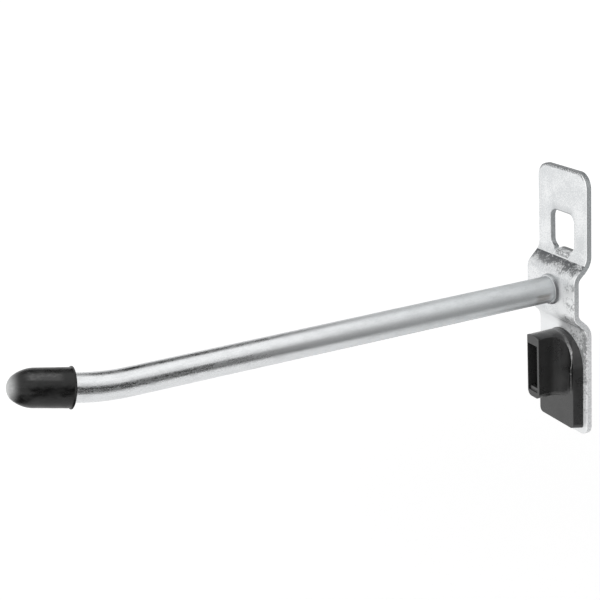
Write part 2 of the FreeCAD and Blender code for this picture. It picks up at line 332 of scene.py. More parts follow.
class Finish:
    """A material under construction: one Principled shader and what feeds it."""

    def __init__(self, name: str, effects: SharedEffects, turned: bool = False, **constants: Any) -> None:
        """Start a material.

        Args:
            name: The material's name.
            effects: The shared node groups.
            turned: Whether places are read on the turned piece before its bend.
            constants: Plain values of the shader's sockets, with underscores for spaces.
        """
        self.effects = effects
        self.material = bpy.data.materials.new(name)
        self.material.use_nodes = True
        self.wires = Wiring(self.material.node_tree)
        self.shader = self.material.node_tree.nodes["Principled BSDF"]
        self.feed(**constants)
        if turned:
            attribute = {"attribute_name": STRAIGHT_PLACE}
            self.place = self.wires.value("ShaderNodeAttribute", None, "Vector", **attribute)
        else:
            self.place = self.wires.value("ShaderNodeTexCoord", None, "Object")
        self.x, self.y, self.z = self.wires.millimetres(self.place)
        normal = self.wires.value("ShaderNodeNewGeometry", None, "Normal")
        self.facing_x, self.facing_y, self.facing_z = self.wires.parts(normal)

    def feed(self, **values: Any) -> None:
        """Feed the shader.

        Args:
            values: Values or outputs by socket name, with underscores for spaces.
        """
        for label, value in values.items():
            self.wires.feed(self.shader.inputs[label.replace("_", " ")], value)

    def zone(self, *zones: Zone) -> Value:
        """Mask of one or more zones.

        Args:
            zones: The zones, which are joined.

        Returns:
            The largest of their masks.
        """
        masks = []
        for zone in zones:
            spans = ((self.x, zone.x), (self.y, zone.y), (self.z, zone.z))
            masks.append(reduce(mul, [axis.span(span) for axis, span in spans if span]) * zone.share)
        return reduce(or_, masks)

    def mottle(self, place: Any, cloud: float, crystal: float, coverage: Any,
               softness: float = 0.16) -> Value:
        """Mask of cloudy patches.

        Args:
            place: Coordinates in metres.
            cloud: Clouds per metre.
            crystal: Crystals per metre.
            coverage: How much the patches cover, from 0 to 1.
            softness: Width of their edges.

        Returns:
            The mask.
        """
        inputs = {"Vector": place, "Cloud Scale": cloud, "Crystal Scale": crystal, "Coverage": coverage}
        inputs["Softness"] = softness
        return self.wires.value("ShaderNodeGroup", inputs, "Mask", node_tree=self.effects.mottle)

    def grain(self, output: str, slow: float, fine: float = 4000.0, share: float = 0.5) -> Value:
        """Grain of the surface.

        Args:
            output: "Height" for the whole grain, or "Slow" for the unevenness alone.
            slow: Cells of the unevenness per metre.
            fine: Grains per metre.
            share: The grains' share of the height.

        Returns:
            A value about 0.5.
        """
        inputs = {"Vector": self.place, "Slow Scale": slow, "Fine Scale": fine, "Fine Share": share}
        return self.wires.value("ShaderNodeGroup", inputs, output, node_tree=self.effects.grain)

    def bump(self, height: Value, depth: float, under: Value | None = None) -> None:
        """Feed the normal from a height.

        Args:
            height: The height, from 0 to 1.
            depth: Depth of the whole range in millimetres.
            under: Normal that the height stands on, if it isn't the mesh's own.
        """
        node = self.wires.add("ShaderNodeBump", {"Height": height, "Distance": depth * MM})
        if under is not None:
            self.wires.feed(node.inputs["Normal"], under)
        self.feed(Normal=node.outputs["Normal"])


@dataclass(frozen=True)
class PlateZinc:
    """Bright zinc on pressed sheet: burnished faces, mottled bends with painted shade and reflection, grey
    sheared edges, and painted shade, reflection and highlights along its edges.
    """

    bright: Colour = (0.78, 0.79, 0.795)
    soft_grey: Colour = (0.62, 0.635, 0.645)
    pale: Colour = (0.78, 0.79, 0.795)
    # Dark grey of the dull plating, of the painted shade and reflection on the bends and below the window, of
    # the painted line along the window's top, and of speckle on the sheared walls.
    shade: Colour = (0.50, 0.515, 0.525)
    patch: Colour = (0.12, 0.125, 0.13)
    sheared: Colour = (0.39, 0.41, 0.42)
    sheared_low: Colour = (0.80, 0.81, 0.82)
    # Darkest grey: painted reflection along the plate's top, painted shade on sheared walls that face up, and
    # painted shade in the recess behind the window's bottom edge.
    painted_shade_dark: Colour = (0.10, 0.105, 0.11)
    # White of the painted highlight on the right-hand rim.
    rim_highlight_white: Colour = (0.96, 0.965, 0.97)
    face_roughness: float = 0.33
    patch_roughness: float = 0.48
    sheared_roughness: float = 0.5
    bloom_matte: float = 0.75
    wall_matte: float = 0.75
    rim_highlight_matte: float = 0.9
    spot_share: float = 0.72
    low_plate: Zone = Zone(z=(-20.0, -27.0))
    beside_collar: Zone = Zone(x=(2.5, 6.0), z=(-9.0, -13.0))
    # Painted shade above the window's top edge.
    above_window: Zone = Zone(x=(-3.5, 4.5, 2.5), z=(8.0, 9.2, 2.6), share=0.7)
    # Painted shade: dark line along the window's top edge.
    window_edge_shade: Zone = Zone(x=(-3.2, 3.6, 1.5), z=(8.5, 9.0, 0.35), share=0.55)
    # Painted shade in the recess behind the window's bottom edge, where the tab runs back, with a ragged
    # edge.
    sill_shade: Zone = Zone(x=(-3.98, 3.98, 0.01), z=(-4.6, -2.9, 0.1), share=0.95)
    tab: Zone = Zone(x=(-3.98, 3.98, 0.01), z=(-6.0, -2.9, 0.01))
    # Zones of dull plating with painted shade and reflection.
    lower_bend: Zone = Zone(x=(0.0, 7.0), z=(-30.0, -21.5, 2.0), share=0.50)
    right_side: Zone = Zone(x=(3.0, 10.0), z=(-50.0, -12.0, 5.0), share=0.40)
    beside_clip: Zone = Zone(x=(3.0, 7.0), z=(-41.0, -28.5, 3.0), share=0.92)
    under_window: Zone = Zone(x=(-2.2, 3.4, 1.6), z=(-4.4, -3.0, 0.4), share=0.62)
    spotted: Zone = Zone(x=(-1.0, 4.0), z=(-38.0, -22.0, 6.0))
    bloom_rod: Zone = Zone(x=(3.2, 6.0), z=(-21.0, -10.0, 3.0))
    bloom_side: Zone = Zone(x=(7.5, 8.8), z=(-56.0, -31.0, 2.0))
    bloom_clip: Zone = Zone(x=(-3.0, 1.0), z=(-31.0, -25.4, 0.7))
    bloom_tab: Zone = Zone(x=(-4.2, 4.2, 0.4), y=(-2.3, 1.6, 0.2), z=(-5.0, -2.7, 0.3))
    # Painted shade along the lower crease.
    crease_shade_line: Band = (-24.62, -24.40, 0.08)
    # Painted shadow on the plate just outside the rod's collar.
    collar_shadow_ring: Band = (4.63, 4.73, 0.05)
    # Painted reflection along the plate's top and round its upper corners.
    corner_middle: Point = (7.7, 17.7)
    corner_roll: Step = (3.65, 3.95)
    top: Step = (19.4, 21.0)
    sill_back: Step = (1.0, 1.6)
    sill_waver: float = 1.6
    bloom_offset: Colour = (0.02, 0.01, 0.03)

    def build(self, effects: SharedEffects) -> bpy.types.Material:
        """Make the material.

        Args:
            effects: The shared node groups.

        Returns:
            The finished material.
        """
        finish = Finish("plate_zinc", effects)
        wires = finish.wires
        clouds = finish.grain("Slow", 160.0)
        speckle = wires.noise(finish.place, 2300.0, 2.0, 0.7)
        patches = self.dull_and_shaded_mask(finish)
        rim = self.side_rim_highlight(finish)
        walls = abs(finish.facing_y).ramp(0.42, 0.12) * (1.0 - finish.zone(self.tab))
        # Painted highlight on the plate's right-hand rim.
        face = wires.mix(rim, self.face_colour(finish, clouds, speckle), self.rim_highlight_white)
        colour = wires.mix(walls, wires.mix(patches, face, self.patch), self.cut_colour(finish, speckle))
        # Painted shade in the recess behind the window's bottom edge, with a ragged edge.
        sill_shade = finish.zone(self.sill_shade) * (finish.y + speckle * self.sill_waver).ramp(*self.sill_back)
        rough = clouds.ramp(0.3, 0.7, self.face_roughness - 0.03, self.face_roughness + 0.04)
        rough += patches * (self.patch_roughness - self.face_roughness)
        rough += walls * (self.sheared_roughness - self.face_roughness)
        matte = self.bloom_mask(finish) * self.bloom_matte | walls * self.wall_matte | rim * self.rim_highlight_matte
        finish.feed(Base_Color=wires.mix(sill_shade, colour, self.painted_shade_dark), Roughness=rough, Metallic=1.0 - matte)
        finish.bump(finish.grain("Height", 420.0, 3500.0, 0.35), 0.02)
        return finish.material

    def face_colour(self, finish: Finish, clouds: Value, speckle: Value) -> Value:
        """Colour of the sheet's own faces: random tone, paler low on the plate and beside the collar, painted
        shade above and along the window's top edge, and a painted reflection along the plate's top.

        Args:
            finish: The material under construction.
            clouds: Slow noise.
            speckle: Fine noise.

        Returns:
            The colour.
        """
        wires = finish.wires
        tone = clouds * 0.35 + speckle * 0.65
        face = wires.mix(tone.ramp(0.43, 0.57), self.bright, self.soft_grey)
        face = wires.mix(finish.zone(self.low_plate, self.beside_collar), face, self.pale)
        # Painted shade above the window's top edge.
        face = wires.mix(finish.zone(self.above_window), face, self.shade)
        # Painted shade: dark line along the window's top edge.
        face = wires.mix(finish.zone(self.window_edge_shade), face, self.patch)
        # Painted reflection: dark strip along the plate's top, broken by speckle.
        return wires.mix(self.top_roll_shade(finish) * speckle.ramp(0.40, 0.60, 0.25, 0.9), face, self.painted_shade_dark)

    def cut_colour(self, finish: Finish, speckle: Value) -> Value:
        """Colour of the sheared walls: painted shade on those that face up, broken by speckle, and paler low
        on the plate.

        Args:
            finish: The material under construction.
            speckle: Fine noise.

        Returns:
            The colour.
        """
        wires = finish.wires
        clean = wires.mix(finish.z.ramp(0.0, -36.0), self.sheared, self.sheared_low)
        clean = wires.mix(speckle.ramp(0.45, 0.60, 0.0, 0.35), clean, self.patch)
        # Painted shade on sheared walls that face up, broken by speckle.
        up_facing_shade = finish.facing_z.ramp(0.35, 0.8) * speckle.ramp(0.42, 0.58, 0.35, 1.0)
        return wires.mix(up_facing_shade, clean, self.painted_shade_dark)

    @staticmethod
    def side_rim_highlight(finish: Finish) -> Value:
        """Painted highlight on the rounded front rim of the plate's right-hand side."""
        rounded = finish.facing_x.ramp(0.22, 0.45) * finish.facing_y.ramp(-0.30, -0.50)
        return rounded * abs(finish.x).ramp(9.0, 9.5)

    def top_roll_shade(self, finish: Finish) -> Value:
        """Dark strip along the plate's top where the sheared face rolls back: a painted reflection.

        Args:
            finish: The material under construction.

        Returns:
            The mask.
        """
        out = abs(finish.x) - self.corner_middle[0] | 0.0
        up = finish.z - self.corner_middle[1] | 0.0
        return finish.wires.length(out, up).ramp(*self.corner_roll) * finish.z.ramp(*self.top)

    def dull_and_shaded_mask(self, finish: Finish) -> Value:
        """Dull mottled plating with painted shade and reflection: under the upper bend, below the window, on
        the lower bend, beside the clip and down the right-hand side; also painted shade along the lower
        crease and a painted shadow below the rod's collar.

        Args:
            finish: The material under construction.

        Returns:
            The mask.
        """
        x, z = finish.x, finish.z
        slope = z.ramp(x.ramp(-12.0, 6.0, -8.4, -10.4), -5.0) * z.ramp(-4.90, -5.02)
        zone = slope | finish.zone(self.lower_bend, self.right_side, self.beside_clip, self.under_window)
        coverage = zone.ramp(0.0, 1.0, 0.38, x.ramp(-9.0, 8.0, 0.575, 0.505))
        spots = finish.mottle(finish.place, 330.0, 1700.0, coverage, 0.12) * zone.ramp(0.02, 0.5)
        # Smooth painted shade under the upper bend.
        smooth = slope * slope * slope
        # Painted shade along the lower crease.
        line = z.band(*self.crease_shade_line) * x.ramp(-4.0, 3.0, 0.0, 0.85)
        # Painted shadow on the plate just outside the rod's collar, below the rod.
        from_rod = finish.wires.length(x, z - RodPath.axis_z / MM)
        ring = from_rod.band(*self.collar_shadow_ring) * z.ramp(-9.0, -11.0) * 0.75
        return spots * self.spot_share + smooth * (1.0 - self.spot_share) | line | ring

    def bloom_mask(self, finish: Finish) -> Value:
        """Pale bloom: spots about the lower bend, and nearly whole beside the rod and the clip.

        Args:
            finish: The material under construction.

        Returns:
            The mask.
        """
        inputs = {0: finish.place, 1: self.bloom_offset}
        moved = finish.wires.value("ShaderNodeVectorMath", inputs, operation="ADD")
        spots = finish.mottle(moved, 420.0, 1500.0, 0.50)
        whole = finish.zone(self.bloom_rod, self.bloom_side, self.bloom_clip, self.bloom_tab)
        return spots * finish.zone(self.spotted) | whole * spots.ramp(0.0, 1.0, 0.75, 1.0)


@dataclass(frozen=True)
class RodZinc:
    """Zinc on drawn wire rod: fine lines along it, duller towards the plate, with painted shade on the collar
    and along the rod's bottom.
    """

    bright: Colour = (0.70, 0.71, 0.72)
    dull: Colour = (0.62, 0.64, 0.65)
    line: Colour = (0.46, 0.47, 0.475)
    stain: Colour = (0.36, 0.345, 0.335)
    # Near-black of the painted shade line round the collar and along the bottom of the rod.
    shade_line_dark: Colour = (0.10, 0.10, 0.105)
    roughness: float = 0.24
    dull_roughness: float = 0.44
    line_share: float = 0.28
    spot_share: float = 0.14
    dull_along: Step = (118.0, 30.0)
    # Painted shade on the collar, with a darker painted line round its outer edge.
    collar_shade_foot: Step = (4.02, 4.15)
    collar_rim_shade: Step = (4.40, 4.55)
    collar_shade_zone: Zone = Zone(y=(3.4, 4.32, 0.1), z=(4.4, 2.6))
    stained: Zone = Zone(y=(6.5, 9.5, 1.5), z=(-2.4, -0.4, 1.0))
    underside_shade: Zone = Zone(y=(100.0, 35.0), z=(-3.1, -3.7))

    def build(self, effects: SharedEffects) -> bpy.types.Material:
        """Make the material.

        Args:
            effects: The shared node groups.

        Returns:
            The finished material.
        """
        finish = Finish("rod_zinc", effects, turned=True, Metallic=1.0)
        wires = finish.wires
        dull = finish.y.ramp(*self.dull_along)
        drawn = wires.noise(wires.stretched(finish.place, (1.0, 0.04, 1.0)), 2600.0, 3.0, 0.65)
        fine = wires.noise(wires.stretched(finish.place, (1.0, 0.03, 1.0)), 5200.0, 2.0)
        lines = drawn.ramp(0.56, 0.75) * self.line_share
        spots = finish.mottle(wires.stretched(finish.place, (1.0, 0.35, 1.0)), 700.0, 3600.0, 0.44)
        from_middle = wires.length(finish.x, finish.z)
        collar = finish.zone(self.collar_shade_zone)
        metal = wires.mix(dull, self.bright, self.dull)
        for mask, colour in (
            (lines, self.line),
            (spots * self.spot_share, self.line),
            # Painted shade on the collar, with a darker painted line round its outer edge.
            (from_middle.ramp(*self.collar_shade_foot) * collar * 0.6, self.line),
            (from_middle.ramp(*self.collar_rim_shade) * collar * 0.75, self.shade_line_dark),
            (finish.zone(self.stained) * drawn.ramp(0.4, 0.6, 0.2, 0.9), self.stain),
            # Painted shade along the bottom of the rod, broken by the drawing lines.
            (finish.zone(self.underside_shade) * drawn.ramp(0.38, 0.6, 0.35, 0.9), self.shade_line_dark),
        ):
            metal = wires.mix(mask, metal, colour)
        rough = dull * (self.dull_roughness - self.roughness) + self.roughness
        finish.feed(Base_Color=metal, Roughness=rough + lines * 0.1 + spots * 0.12)
        finish.bump(fine * 0.5 + drawn * 0.5, 0.006)
        return finish.material


@dataclass(frozen=True)
class CapVinyl:
    """Soft black vinyl with a satin skin and faint scuffs, with painted highlights on the nose and along the
    upper side.
    """

    black: Colour = (0.004, 0.004, 0.004)
    scuff: Colour = (0.022, 0.022, 0.022)
    # Colour of the painted highlight on the nose.
    nose_highlight: Colour = (0.46, 0.465, 0.465)
    highlight_streak: Colour = (0.085, 0.085, 0.085)
    roughness: float = 0.28
    nose_highlight_span: Step = (163.9, 167.6)
    highlight_streak_zone: Zone = Zone(x=(0.5, 2.0), y=(155.3, 162.3, 2.0), z=(3.6, 4.3, 0.6))

    def build(self, effects: SharedEffects) -> bpy.types.Material:
        """Make the material.

        Args:
            effects: The shared node groups.

        Returns:
            The finished material.
        """
        finish = Finish("cap_vinyl", effects, turned=True, IOR=1.42)
        wires = finish.wires
        rubbed = finish.mottle(wires.stretched(finish.place, (1.0, 0.4, 1.0)), 380.0, 1700.0, 0.42)
        skin = wires.mix(rubbed * 0.5, self.black, self.scuff)
        # Painted highlight along the cap's upper side, broken by the scuffs.
        skin = wires.mix(finish.zone(self.highlight_streak_zone) * rubbed.ramp(0.0, 1.0, 0.45, 1.0), skin, self.highlight_streak)
        # Painted highlight on the end of the nose, fading back along it.
        nose_highlight_span = finish.y.ramp(*self.nose_highlight_span)
        skin = wires.mix(nose_highlight_span * nose_highlight_span * rubbed.ramp(0.0, 1.0, 1.0, 0.85), skin, self.nose_highlight)
        rough = finish.grain("Slow", 240.0).ramp(0.3, 0.7, self.roughness - 0.05, self.roughness + 0.08)
        finish.feed(Base_Color=skin, Roughness=rough + rubbed * 0.12)
        finish.bump(finish.grain("Height", 300.0, 2600.0, 0.25), 0.035)
        return finish.material


@dataclass(frozen=True)
class ClipNylon:
    """Moulded black nylon with a fine spark-eroded grain and dust, painted light on the grip's upward faces
    and a painted highlight where the flares meet the flange.
    """

    black: Colour = (0.0015, 0.0015, 0.0015)
    rubbed: Colour = (0.008, 0.008, 0.008)
    inside: Colour = (0.030, 0.030, 0.030)
    # Grey of the painted light on the grip's upward faces.
    top: Colour = (0.060, 0.060, 0.060)
    # Grey of the painted highlight where the flares meet the flange.
    ridge_highlight: Colour = (0.50, 0.50, 0.50)
    roughness: float = 0.29
    edge_round: float = 0.3
    pocket: Zone = Zone(x=(-2.8, 2.15, 0.02), y=(-12.3, -4.8, 0.1), z=(-45.95, -30.75, 0.02))
    ridge_width: float = 0.10
    ridge_x: float = 7.7
    ridge_y: Band = (-4.5, -3.6, 0.1)
    straight_z: Band = (-45.5, -38.0, 1.0)
    arch_z: Step = (-38.6, -37.6)
    arch_middle_z: float = -35.73
    arch_radius: float = 8.03

    def build(self, effects: SharedEffects) -> bpy.types.Material:
        """Make the material.

        Args:
            effects: The shared node groups.

        Returns:
            The finished material.
        """
        finish = Finish("clip_nylon", effects, IOR=1.66)
        wires = finish.wires
        dust = finish.mottle(finish.place, 420.0, 2200.0, 0.45)
        skin = wires.mix(dust * 0.35, self.black, self.rubbed)
        # Painted light: the grip's upward faces lighter, broken by dust.
        grip_top_light = finish.facing_z.ramp(0.5, 0.9) * finish.y.ramp(-12.0, -6.0)
        skin = wires.mix(grip_top_light * dust.ramp(0.0, 1.0, 0.45, 1.0), skin, self.top)
        # Painted highlight where the flares meet the flange, broken by dust.
        skin = wires.mix(self.ridge_highlight_mask(finish) * dust.ramp(0.0, 1.0, 0.35, 1.0), skin, self.ridge_highlight)
        skin = wires.mix(finish.zone(self.pocket), skin, self.inside)
        rough = finish.grain("Slow", 200.0).ramp(0.3, 0.7, self.roughness - 0.04, self.roughness + 0.08)
        finish.feed(Base_Color=skin, Roughness=rough)
        rounded = wires.value("ShaderNodeBevel", {"Radius": self.edge_round * MM}, samples=6)
        finish.bump(finish.grain("Height", 500.0, 2400.0, 0.8), 0.025, rounded)
        return finish.material

    def ridge_highlight_mask(self, finish: Finish) -> Value:
        """Painted highlight line where the flares run out on the flange, fading over the arch's top.

        Args:
            finish: The material under construction.

        Returns:
            The mask.
        """
        across, thin = abs(finish.x), self.ridge_width
        side = across.band(self.ridge_x, self.ridge_x + thin, thin) * finish.z.band(*self.straight_z)
        away = finish.wires.length(across, finish.z - self.arch_middle_z)
        arch = away.band(self.arch_radius, self.arch_radius + thin, thin) * finish.z.ramp(*self.arch_z)
        return (side | arch) * finish.y.band(*self.ridge_y) * finish.z.ramp(-29.0, -33.0, 0.25, 1.0)


@dataclass(frozen=True)
class RodPath:
    """Line of the rod: straight out from the plate, then one upward bend and a short tail."""

    axis_z: float = -14.2 * MM
    start_y: float = -2.95 * MM
    bend_y: float = -138.0 * MM
    bend_radius: float = 65.0 * MM
    bend_angle: float = radians(12.5)

    @property
    def bend_start(self) -> float:
        """Station at which the bend begins."""
        return self.start_y - self.bend_y

    @property
    def bend_end(self) -> float:
        """Station at which the bend ends."""
        return self.bend_start + self.bend_radius * self.bend_angle


def quarter(centre: Point, radius: float, start: float, end: float, steps: int) -> list[Point]:
    """Points of an arc in a turned profile.

    Args:
        centre: Station and radius of the arc's centre.
        radius: The arc's own radius.
        start: First angle in degrees, from the station axis.
        end: Last angle in degrees.
        steps: Number of chords.

    Returns:
        The points from start to end.
    """
    angles = [radians(start + (end - start) * i / steps) for i in range(steps + 1)]
    return [(centre[0] + radius * cos(a), centre[1] + radius * sin(a)) for a in angles]


class TurnedOnPath:
    """Geometry Nodes tree that turns a profile about the rod's line and follows its bend."""

    weld_distance = 0.001 * MM

    def __init__(self) -> None:
        """Build the tree once for all turned pieces."""
        self.tree = self.build_tree()

    def build_tree(self) -> bpy.types.NodeTree:
        """Make the tree.

        Returns:
            The geometry node tree.
        """
        sockets = {
            "Geometry": ("Geometry", None),
            "Sides": ("Int", 96),
            "Axis Z": ("Float", 0.0),
            "Start Y": ("Float", 0.0),
            "Bend Start": ("Float", 0.1),
            "Bend Radius": ("Float", 0.05),
            "Bend Angle": ("Float", 0.2),
            "Material": ("Material", None),
        }
        wires = group_tree("turned_on_path", "GeometryNodeTree", sockets, ("Geometry",))
        line, sides = wires.given("Geometry"), wires.given("Sides")
        columns = sides + 1.0
        rings = wires.value("GeometryNodeAttributeDomainSize", {"Geometry": line}, "Point Count")
        index = wires.value("GeometryNodeInputIndex")
        ring = wires.math("FLOOR", (index + 0.5) / columns)
        around = (index - ring * columns) * (2.0 * pi) / sides
        where = wires.value("GeometryNodeInputPosition")
        profile = wires.value(
            "GeometryNodeSampleIndex",
            {"Geometry": line, "Value": where, "Index": ring},
            data_type="FLOAT_VECTOR",
        )
        station, _, radius = wires.parts(profile)
        across = radius * wires.math("COSINE", around)
        up = radius * wires.math("SINE", around)
        straight = wires.value("ShaderNodeCombineXYZ", {0: across, 1: station, 2: up})
        mesh = wires.value("GeometryNodeMeshGrid", {"Vertices X": rings, "Vertices Y": columns})
        for kind, inputs, settings in (
            ("SetPosition", {"Position": self.bent_place(wires, station, across, up)}, {}),
            (
                "StoreNamedAttribute",
                {"Name": STRAIGHT_PLACE, "Value": straight},
                {"data_type": "FLOAT_VECTOR", "domain": "POINT"},
            ),
            ("MergeByDistance", {"Distance": self.weld_distance}, {}),
            ("SetShadeSmooth", {}, {}),
            ("RealizeInstances", {}, {}),
            ("SetMaterial", {"Material": wires.given("Material")}, {}),
        ):
            mesh = wires.value("GeometryNode" + kind, {"Geometry": mesh, **inputs}, **settings)
        wires.put_out("Geometry", mesh)
        return wires.tree

    @staticmethod
    def bent_place(wires: Wiring, station: Value, across: Value, up: Value) -> Value:
        """Place of a point of the straight turned shape after the bend.

        Args:
            wires: Wiring of the tree.
            station: Distance along the rod.
            across: Offset across the rod.
            up: Offset above the rod's line.

        Returns:
            The place.
        """
        bend_start, bend_radius = wires.given("Bend Start"), wires.given("Bend Radius")
        past = station - bend_start
        arc_length = bend_radius * wires.given("Bend Angle")
        turn = wires.math("MINIMUM", past | 0.0, arc_length) / bend_radius
        tail = past - arc_length | 0.0
        sine, cosine = wires.math("SINE", turn), wires.math("COSINE", turn)
        reach = wires.math("MINIMUM", station, bend_start) + bend_radius * sine + tail * cosine
        lift = bend_radius * (1.0 - cosine) + tail * sine
        y = wires.given("Start Y") - reach + up * sine
        z = wires.given("Axis Z") + lift + up * cosine
        return wires.value("ShaderNodeCombineXYZ", {0: across, 1: y, 2: z})

    def make(self, name: str, profile: list[Point], path: RodPath, sides: int,
             material: bpy.types.Material) -> bpy.types.Object:
        """Turn a profile and freeze the result as a plain mesh.

        Args:
            name: Name of the new piece.
            profile: Stations and radii from one pole to the other.
            path: The rod's line.
            sides: Facets around the rod.
            material: The piece's material.

        Returns:
            The new object.
        """
        line = bpy.data.meshes.new(name + "_profile")
        line.from_pydata([(s, 0.0, r) for s, r in profile], [(i, i + 1) for i in range(len(profile) - 1)], [])
        source = placed(name, line)
        modifier = source.modifiers.new("turned", "NODES")
        modifier.node_group = self.tree
        values = {
            "Sides": sides,
            "Axis Z": path.axis_z,
            "Start Y": path.start_y,
            "Bend Start": path.bend_start,
            "Bend Radius": path.bend_radius,
            "Bend Angle": path.bend_angle,
            "Material": material,
        }
        for item in self.tree.interface.items_tree:
            if item.in_out == "INPUT" and item.name in values:
                modifier[item.identifier] = values[item.name]
        return frozen(source)


def placed(name: str, data: Any, place: Matrix | None = None) -> bpy.types.Object:
    """Put a new object in the scene.

    Args:
        name: The object's name.
        data: Its mesh, lamp or camera.
        place: Its matrix, if it doesn't stay at the origin.

    Returns:
        The new object.
    """
    made = bpy.data.objects.new(name, data)
    bpy.context.scene.collection.objects.link(made)
    if place is not None:
        made.matrix_world = place
    return made


def frozen(source: bpy.types.Object) -> bpy.types.Object:
    """Turn an object's evaluated result into its plain mesh, shaded smooth but for its real edges.

    Args:
        source: The object with live modifiers.

    Returns:
        The same object with no modifiers.
    """
    graph = bpy.context.evaluated_depsgraph_get()
    mesh = bpy.data.meshes.new_from_object(source.evaluated_get(graph), depsgraph=graph)
    source.modifiers.clear()
    source.data = mesh
    mesh.name = source.name
    mesh.set_sharp_from_angle(angle=SHARP_ANGLE)
    return source


@dataclass
class BackPlate:
    """Pressed plate with its window, tab and step, as the frame has it."""

    node: str = "back_plate"

    def dress(self, effects: SharedEffects) -> bpy.types.Object:
        """Give the plate its zinc."""
        return set_material(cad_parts[self.node], PlateZinc().build(effects))


@dataclass
class HookRod:
    """Turned rod: staked head, tenon, collar against the plate and the bent shaft."""

    path: RodPath
    radius: float = 4.0 * MM
    head_radius: float = 4.8 * MM
    head_height: float = 1.5 * MM
    head_chamfer: float = 0.7 * MM
    tenon_radius: float = 3.1 * MM
    sheet: float = 1.7 * MM
    collar_radius: float = 4.6 * MM
    collar_length: float = 1.1 * MM
    collar_round: float = 0.45 * MM
    round_steps: int = 6
    tail: float = 13.2 * MM
    chamfer: float = 0.7 * MM
    straight_rings: int = 8
    bend_rings: int = 26
    sides: int = 96

    def profile(self) -> list[Point]:
        """Stations and radii of the turned shape, from the head to the far end.

        Returns:
            The profile's points.
        """
        seat = self.head_height + self.sheet
        collar_end = seat + self.collar_length
        flat = self.collar_radius - self.collar_round
        points = [
            (0.0, 0.0),
            (0.0, self.head_radius - self.head_chamfer),
            (self.head_chamfer, self.head_radius),
            (self.head_height, self.head_radius),
            (self.head_height, self.tenon_radius),
            (seat, self.tenon_radius),
            (seat, self.collar_radius),
        ]
        points += quarter((collar_end - self.collar_round, flat), self.collar_round, 90, 0, self.round_steps)
        points.append((collar_end, self.radius))
        start, end = self.path.bend_start, self.path.bend_end
        for low, high, rings in ((collar_end, start, self.straight_rings), (start, end, self.bend_rings)):
            points += [(low + (high - low) * i / rings, self.radius) for i in range(1, rings + 1)]
        points += [
            (end + self.tail - self.chamfer, self.radius),
            (end + self.tail, self.radius - self.chamfer),
            (end + self.tail, 0.0),
        ]
        return points

    def build(self, turner: TurnedOnPath, effects: SharedEffects) -> bpy.types.Object:
        """Make the rod and put it in place of its node.

        Args:
            turner: The turned-shape tree.
            effects: The shared node groups.

        Returns:
            The rod's object.
        """
        rod = turner.make("rod", self.profile(), self.path, self.sides, RodZinc().build(effects))
        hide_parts("hook_rod")
        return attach(rod, BODY)


@dataclass
class EndCap:
    """Soft cap pushed on the rod's end."""

    path: RodPath
    bare_tail: float = 1.3 * MM
    bore: float = 4.0 * MM
    bore_depth: float = 11.9 * MM
    mouth: float = 5.35 * MM
    body: float = 5.2 * MM
    lip: float = 5.65 * MM
    lip_edge: float = 0.15 * MM
    lip_length: float = 0.7 * MM
    lip_power: float = 2.2
    lip_steps: int = 4
    length: float = 16.9 * MM
    dome_length: float = 7.2 * MM
    nose_radius: float = 4.2 * MM
    nose_steps: int = 14
    side_steps: int = 10
    sides: int = 96

    def profile(self) -> list[Point]:
        """Stations and radii of the cap, from the nose round the lip to the bore's end.

        Returns:
            The profile's points.
        """
        shoulder = self.length - self.dome_length
        rise = self.dome_length - self.nose_radius
        side = (rise**2 + self.body**2 - self.nose_radius**2) / (2.0 * (self.body - self.nose_radius))
        meet = degrees(atan2(side - self.body, rise))
        points = quarter((shoulder + rise, 0.0), self.nose_radius, 0.0, meet, self.nose_steps)
        points[0] = (self.length, 0.0)
        points += quarter((shoulder, self.body - side), side, meet, 90.0, self.side_steps)[1:]
        for step in range(self.lip_steps, -1, -1):
            share = step / self.lip_steps
            station = self.lip_edge + (self.lip_length - self.lip_edge) * share
            points.append((station, self.mouth + (self.lip - self.mouth) * (1.0 - share) ** self.lip_power))
        points += [
            (0.0, self.lip),
            (0.0, self.bore),
            (self.bore_depth, self.bore),
            (self.bore_depth, 0.0),
        ]
        start = self.path.bend_end + self.bare_tail
        return [(start + s, r) for s, r in points]

    def build(self, turner: TurnedOnPath, effects: SharedEffects) -> bpy.types.Object:
        """Make the cap and put it in place of its node.

        Args:
            turner: The turned-shape tree.
            effects: The shared node groups.

        Returns:
            The cap's object.
        """
        cap = turner.make("cap", self.profile(), self.path, self.sides, CapVinyl().build(effects))
        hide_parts("end_cap")
        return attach(cap, BODY)


@dataclass
class LockingClip:
    """Moulded clip with its grip, pocket and split stub, as the frame has it."""

    node: str = "locking_clip"

    def dress(self, effects: SharedEffects) -> bpy.types.Object:
        """Give the clip its nylon."""
        return set_material(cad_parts[self.node], ClipNylon().build(effects))


def set_material(piece: bpy.types.Object, material: bpy.types.Material) -> bpy.types.Object:
    """Put one material on a whole object.

    Args:
        piece: The object.
        material: Its material.

    Returns:
        The same object.
    """
    piece.data.materials.clear()
    piece.data.materials.append(material)
    return piece


@dataclass(frozen=True)
class Card:
    """A flat panel of the studio, given by its middle, the way it faces and its size."""

    name: str
    middle: Colour
    facing: Colour
    width: float
    height: float

    def turned(self) -> Matrix:
        """Placing matrix that turns local -Z to the facing direction."""
        turn = Vector(self.facing).to_track_quat("-Z", "Y").to_matrix().to_4x4()
        return Matrix.Translation(self.middle) @ turn


